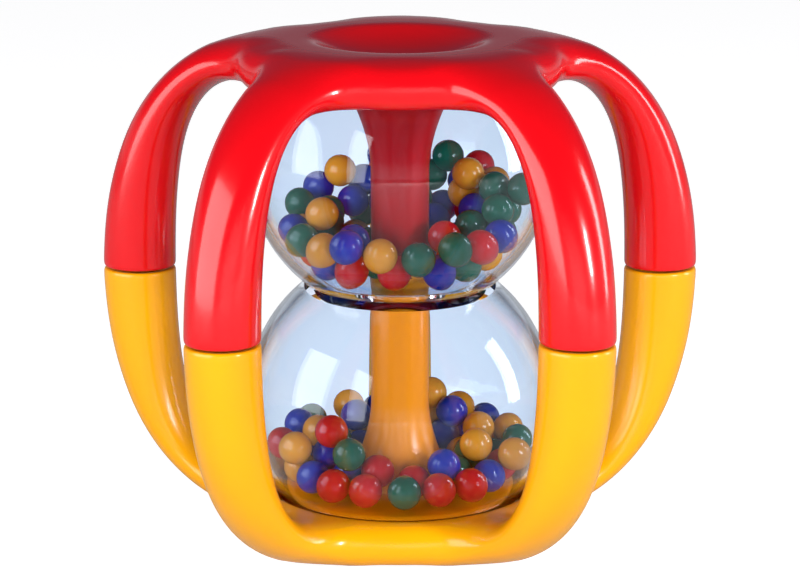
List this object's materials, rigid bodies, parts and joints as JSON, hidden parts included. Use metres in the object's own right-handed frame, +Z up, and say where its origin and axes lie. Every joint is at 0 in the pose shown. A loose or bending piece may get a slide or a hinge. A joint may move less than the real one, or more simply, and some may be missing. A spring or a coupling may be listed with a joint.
{
  "type": "baby rattle",
  "caption": "Barrel-shaped baby rattle: curved hollow arms, red above and yellow below, round two clear bowls of loose coloured balls and a trumpet-shaped column.",
  "frame": {"origin": "centre of the flat underside of the base, on the axis of the arms and bowls", "axes": "+Z up the axis from the base to the cap, +Y through the middle of one arm, -Y through the middle of the window opposite it"},
  "size_m": [0.1094, 0.1051, 0.0904],
  "materials": {
    "red_shell": "glossy red moulded plastic",
    "yellow_shell": "glossy warm yellow moulded plastic",
    "red_column": "satin red moulded plastic",
    "yellow_column": "satin warm yellow moulded plastic",
    "clear_bowl": "clear polished plastic",
    "ball_red": "glossy translucent red plastic",
    "ball_blue": "glossy blue plastic",
    "ball_green": "glossy green plastic",
    "ball_amber": "glossy amber plastic"
  },
  "bodies": {
    "cage": {"cap_shell": "red_shell", "cap_liner": "red_shell", "upper_column": "red_column", "upper_bowl": "clear_bowl", "base_shell": "yellow_shell", "base_liner": "yellow_shell", "lower_column": "yellow_column", "lower_bowl": "clear_bowl", "waist_ring": "clear_bowl"},
    "lower_balls": {"ball_lower_01": "ball_green", "ball_lower_02": "ball_red", "ball_lower_03": "ball_red", "ball_lower_04": "ball_blue", "ball_lower_05": "ball_red", "ball_lower_06": "ball_green", "ball_lower_07": "ball_amber", "ball_lower_08": "ball_blue", "ball_lower_09": "ball_amber", "ball_lower_10": "ball_blue", "ball_lower_11": "ball_amber", "ball_lower_12": "ball_green", "ball_lower_13": "ball_red", "ball_lower_14": "ball_blue", "ball_lower_15": "ball_amber", "ball_lower_16": "ball_blue", "ball_lower_17": "ball_red", "ball_lower_18": "ball_red", "ball_lower_19": "ball_red", "ball_lower_20": "ball_green", "ball_lower_21": "ball_amber", "ball_lower_22": "ball_red", "ball_lower_23": "ball_blue", "ball_lower_24": "ball_blue", "ball_lower_25": "ball_blue"},
    "lower_top_balls": {"ball_lower_26": "ball_green", "ball_lower_27": "ball_amber", "ball_lower_28": "ball_red"},
    "upper_balls": {"ball_upper_01": "ball_amber", "ball_upper_02": "ball_red", "ball_upper_03": "ball_blue", "ball_upper_04": "ball_red", "ball_upper_05": "ball_green", "ball_upper_06": "ball_blue", "ball_upper_07": "ball_green", "ball_upper_08": "ball_red", "ball_upper_09": "ball_blue", "ball_upper_10": "ball_green", "ball_upper_11": "ball_amber", "ball_upper_12": "ball_green", "ball_upper_13": "ball_blue", "ball_upper_14": "ball_red", "ball_upper_15": "ball_blue", "ball_upper_16": "ball_amber", "ball_upper_17": "ball_green", "ball_upper_18": "ball_red", "ball_upper_19": "ball_blue", "ball_upper_20": "ball_red"},
    "upper_top_balls": {"ball_upper_21": "ball_green", "ball_upper_22": "ball_amber", "ball_upper_23": "ball_green"}
  },
  "joints": [
    {"name": "lower_swirl", "type": "hinge", "parent": "cage", "child": "lower_balls", "pos_m": [0, 0, 0.0452], "axis": [0, 0, 1], "continuous": true},
    {"name": "lower_hop", "type": "slide", "parent": "lower_balls", "child": "lower_top_balls", "axis": [0, 0, 1], "range_m": [0, 0.008]},
    {"name": "upper_swirl", "type": "hinge", "parent": "cage", "child": "upper_balls", "pos_m": [0, 0, 0.0452], "axis": [0, 0, 1], "continuous": true},
    {"name": "upper_hop", "type": "slide", "parent": "upper_balls", "child": "upper_top_balls", "axis": [0, 0, 1], "range_m": [0, 0.008]}
  ]
}
